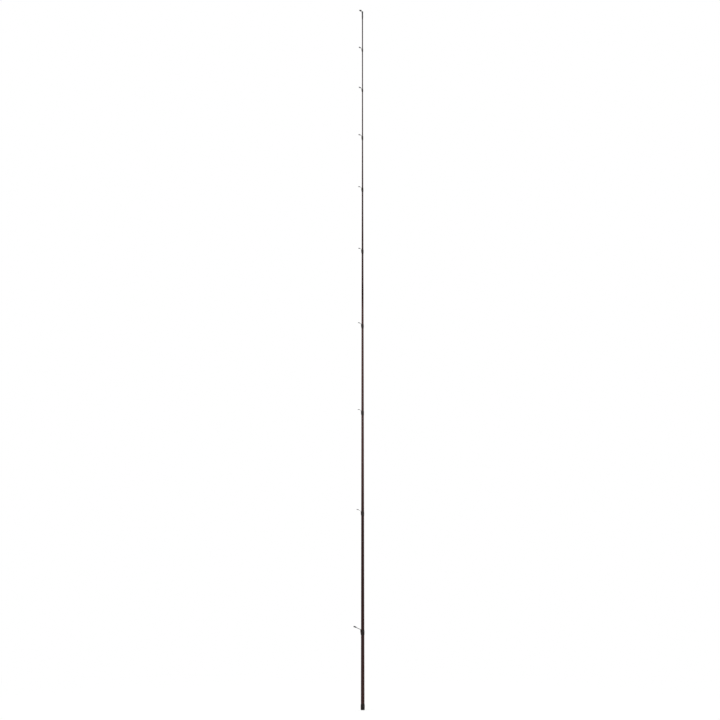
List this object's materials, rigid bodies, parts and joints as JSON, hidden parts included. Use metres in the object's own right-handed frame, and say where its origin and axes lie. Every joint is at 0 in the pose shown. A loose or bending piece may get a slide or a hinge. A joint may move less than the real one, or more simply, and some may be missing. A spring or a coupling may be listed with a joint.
{
  "type": "float rod tip section",
  "caption": "Tip section of a float fishing rod: hollow tapered blank, lined guides bound on under thread whippings, lined tip ring and an open ferrule.",
  "frame": {"origin": "centre of the mouth of the ferrule's socket, at the section's lower end", "axes": "+Z along the blank from the ferrule to the tip, -X the side that the guides and the tip ring stand on, Y across the section"},
  "size_m": [0.0279, 0.0102, 1.716],
  "materials": {
    "blank_lacquer": "glossy dark oxblood lacquer over carbon, nearly neutral grey towards the tip",
    "whipping_varnish": "black thread under clear varnish",
    "frame_steel": "smoked, polished stainless steel",
    "insert_ceramic": "polished dark grey ceramic"
  },
  "bodies": {
    "root": {"blank": "blank_lacquer", "ferrule_whipping": "whipping_varnish", "guide_1_frame": "frame_steel", "guide_1_insert": "insert_ceramic", "guide_1_whipping": "whipping_varnish", "guide_2_frame": "frame_steel", "guide_2_insert": "insert_ceramic", "guide_2_whipping": "whipping_varnish", "guide_3_frame": "frame_steel", "guide_3_insert": "insert_ceramic", "guide_3_whipping": "whipping_varnish", "guide_4_frame": "frame_steel", "guide_4_insert": "insert_ceramic", "guide_4_whipping": "whipping_varnish", "guide_5_frame": "frame_steel", "guide_5_insert": "insert_ceramic", "guide_5_whipping": "whipping_varnish", "guide_6_frame": "frame_steel", "guide_6_insert": "insert_ceramic", "guide_6_whipping": "whipping_varnish", "guide_7_frame": "frame_steel", "guide_7_insert": "insert_ceramic", "guide_7_whipping": "whipping_varnish", "guide_8_frame": "frame_steel", "guide_8_insert": "insert_ceramic", "guide_8_whipping": "whipping_varnish", "guide_9_frame": "frame_steel", "guide_9_insert": "insert_ceramic", "guide_9_whipping": "whipping_varnish", "tip_frame": "frame_steel", "tip_insert": "insert_ceramic", "tip_whipping": "whipping_varnish"}
  },
  "joints": []
}
